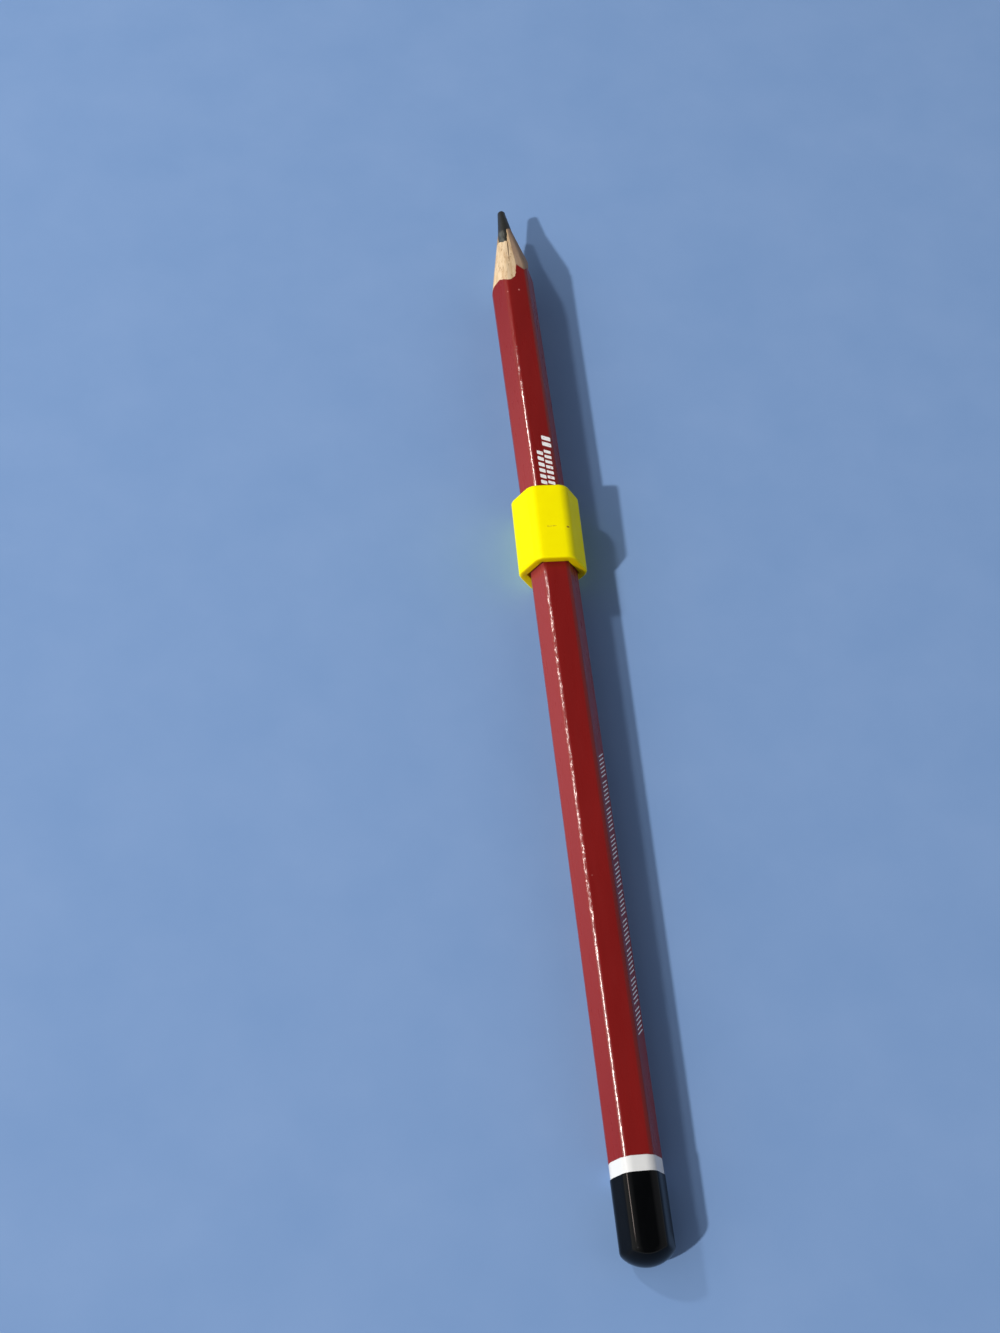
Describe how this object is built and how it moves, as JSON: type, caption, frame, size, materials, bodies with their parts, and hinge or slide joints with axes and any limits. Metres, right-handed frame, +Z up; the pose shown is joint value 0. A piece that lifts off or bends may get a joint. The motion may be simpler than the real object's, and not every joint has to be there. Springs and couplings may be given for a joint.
{
  "type": "pencil extender",
  "caption": "Short hexagonal sleeve that joins a sharpened red pencil stub to a longer pencil with a dipped end; both pencils pull straight out of its sockets.",
  "frame": {"origin": "middle of the sleeve's flat underside, which lies on the table", "axes": "+Y along the pencils towards the sharpened point, +Z up out of the table, +X to the right when looking along +Y"},
  "size_m": [0.0114, 0.1907, 0.0103],
  "materials": {
    "printed_plastic": "printed in fine layers, satin",
    "graphite": "dark grey with a dull sheen",
    "cedar": "bare, cut",
    "red_lacquer": "glossy lacquer on wood",
    "white_paint": "glossy dipped paint",
    "black_paint": "glossy dipped paint"
  },
  "bodies": {
    "sleeve": {"coupling_sleeve": "printed_plastic"},
    "front_pencil": {"front_core": "graphite", "front_upper_slat": "cedar", "front_lower_slat": "cedar", "front_lacquer": "red_lacquer"},
    "rear_pencil": {"rear_core": "graphite", "rear_upper_slat": "cedar", "rear_lower_slat": "cedar", "rear_lacquer": "red_lacquer", "rear_white_dip": "white_paint", "rear_black_dip": "black_paint"}
  },
  "joints": [
    {"name": "front_pencil_slide", "type": "slide", "parent": "sleeve", "child": "front_pencil", "axis": [0, 1, 0], "range_m": [0, 0.01]},
    {"name": "rear_pencil_slide", "type": "slide", "parent": "sleeve", "child": "rear_pencil", "axis": [0, -1, 0], "range_m": [0, 0.01]}
  ]
}
